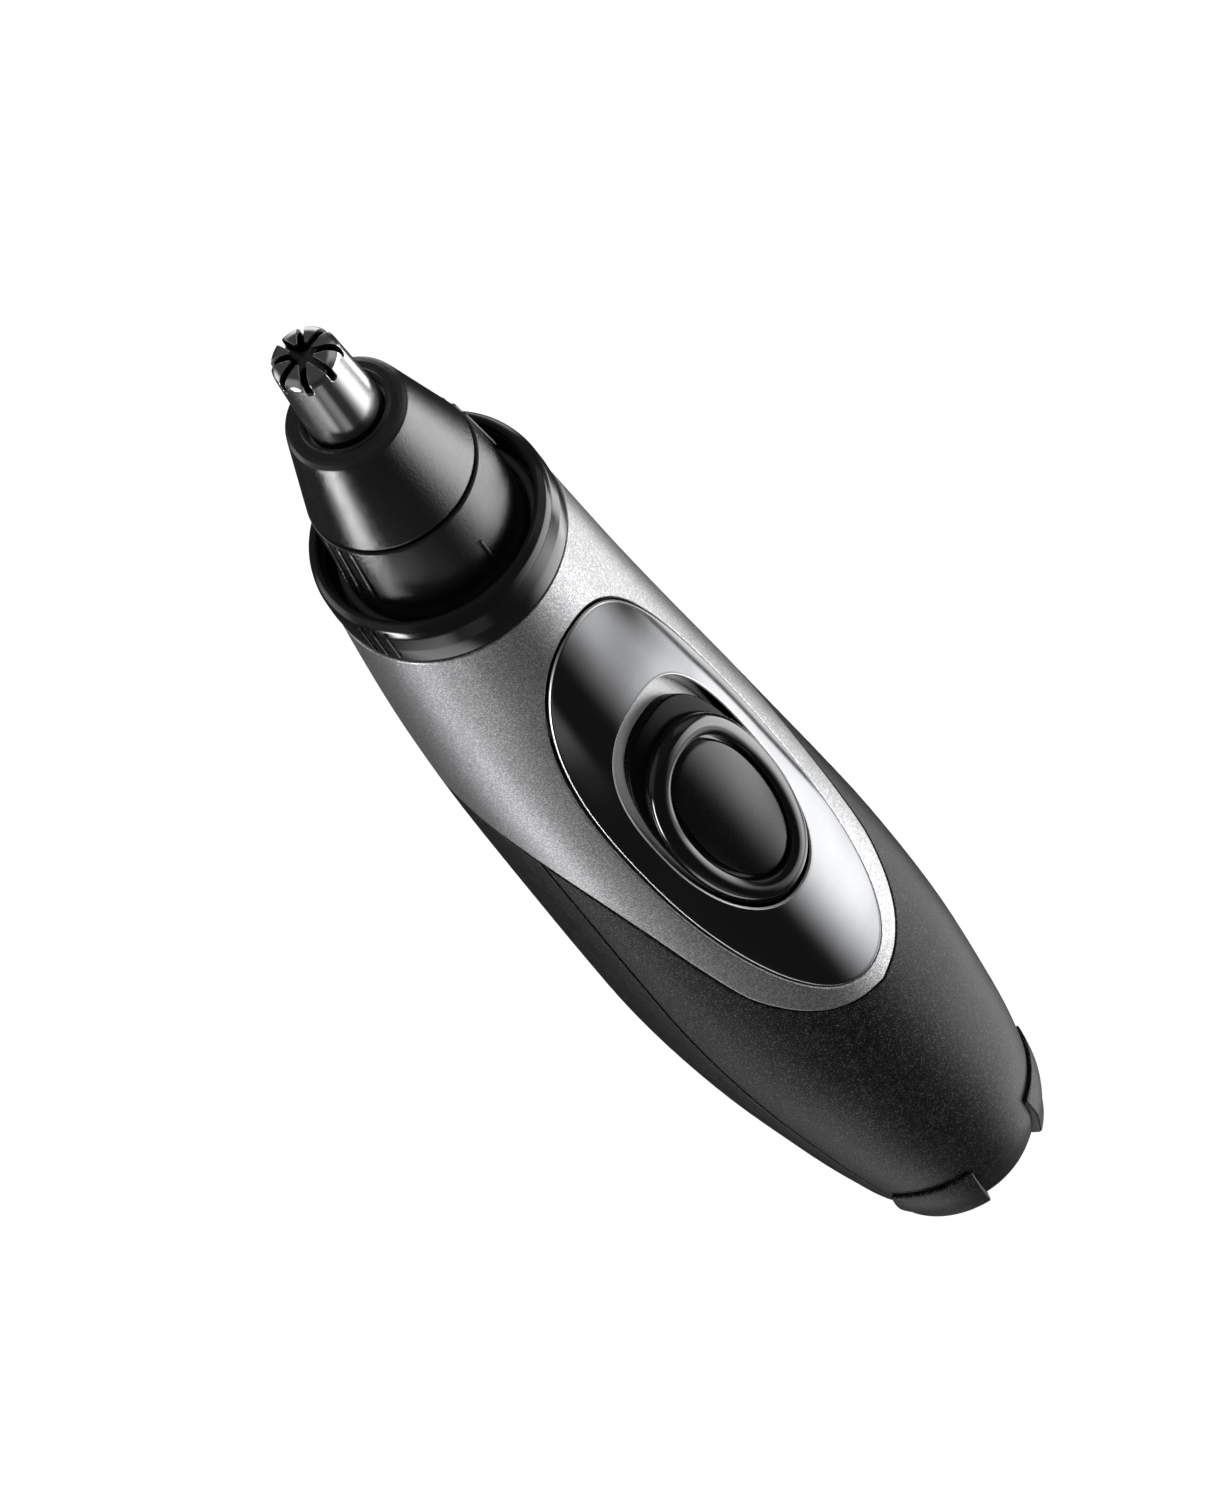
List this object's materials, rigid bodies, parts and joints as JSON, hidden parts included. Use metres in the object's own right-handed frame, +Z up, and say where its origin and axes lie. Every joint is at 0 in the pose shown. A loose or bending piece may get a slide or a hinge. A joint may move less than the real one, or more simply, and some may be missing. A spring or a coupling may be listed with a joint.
{
  "type": "nose hair trimmer",
  "caption": "Battery nose and ear hair trimmer: bowed tapering body, slotted steel guard over a spinning blade, black cone, oval slide switch and a lugged battery cap.",
  "frame": {"origin": "middle of the bounding box footprint, on the plane that the battery cap stands on", "axes": "+Z up along the body towards the cutting guard, -Y the side with the slide switch, +X to the right when the switch faces the viewer"},
  "size_m": [0.0318, 0.0327, 0.1554],
  "materials": {
    "stainless_steel": "polished",
    "satin_black": "satin",
    "gloss_black": "gloss",
    "silver_paint": "satin",
    "charcoal_paint": "satin",
    "smoked_mirror": "polished",
    "silver_floor": "satin",
    "seal_rubber": "matte",
    "frame_plastic": "matte",
    "contact_metal": "satin",
    "motor_steel": "satin",
    "cell_wrap": "satin",
    "chamber_plastic": "satin"
  },
  "bodies": {
    "root": {"shield_shell": "silver_paint", "front_cover": "charcoal_paint", "rear_cover": "charcoal_paint", "oval_panel": "smoked_mirror", "switch_plate": "silver_floor", "switch_leaf": "contact_metal", "collar_ring": "gloss_black", "hair_chamber": "chamber_plastic", "filter_screen": "stainless_steel", "fan_housing": "frame_plastic", "motor_can": "motor_steel", "magnet_ring": "motor_steel", "motor_endcap": "frame_plastic", "battery_tube": "frame_plastic", "motor_mount": "frame_plastic", "frame_screw_left": "motor_steel", "frame_screw_right": "motor_steel", "minus_strip": "contact_metal", "plus_contact": "contact_metal"},
    "rotor": {"inner_blade": "stainless_steel", "blade_spring": "stainless_steel", "drive_shaft": "stainless_steel", "shaft_coupler": "contact_metal", "motor_shaft": "stainless_steel", "fan_impeller": "frame_plastic", "armature": "contact_metal"},
    "head_ring": {"head_seal": "seal_rubber"},
    "head": {"head_skirt": "satin_black", "head_cone": "satin_black", "outer_blade": "stainless_steel"},
    "switch": {"switch_slider": "gloss_black", "switch_dome": "satin_black", "switch_contact": "contact_metal"},
    "cap_spring": {"cell_spring": "contact_metal"},
    "cap": {"battery_cap": "charcoal_paint", "cap_seal": "seal_rubber"},
    "cell": {"aa_cell": "cell_wrap"}
  },
  "joints": [
    {"name": "blade_spin", "type": "hinge", "parent": "root", "child": "rotor", "pos_m": [0, -0.00111, 0.1171], "axis": [0, -0.1219, 0.9925], "continuous": true},
    {"name": "head_pull", "type": "slide", "parent": "root", "child": "head_ring", "axis": [0, -0.1219, 0.9925], "range_m": [0, 0.03]},
    {"name": "head_twist", "type": "hinge", "parent": "head_ring", "child": "head", "pos_m": [0, -0.00111, 0.1171], "axis": [0, -0.1219, 0.9925], "range_deg": [0, 40]},
    {"name": "switch_slide", "type": "slide", "parent": "root", "child": "switch", "axis": [0, 0.024, 0.9997], "range_m": [0, 0.003]},
    {"name": "cap_pull", "type": "slide", "parent": "root", "child": "cap_spring", "axis": [0, 0, -1], "range_m": [0, 0.075]},
    {"name": "cap_twist", "type": "hinge", "parent": "cap_spring", "child": "cap", "pos_m": [0, -0.00229, 0], "axis": [0, 0, -1], "range_deg": [0, 45]},
    {"name": "cell_slide", "type": "slide", "parent": "root", "child": "cell", "axis": [0, 0, -1], "range_m": [0, 0.06]}
  ],
  "couplings": [
    {"joint": "cell_slide", "follows": "cap_pull", "ratio": 0.72}
  ]
}
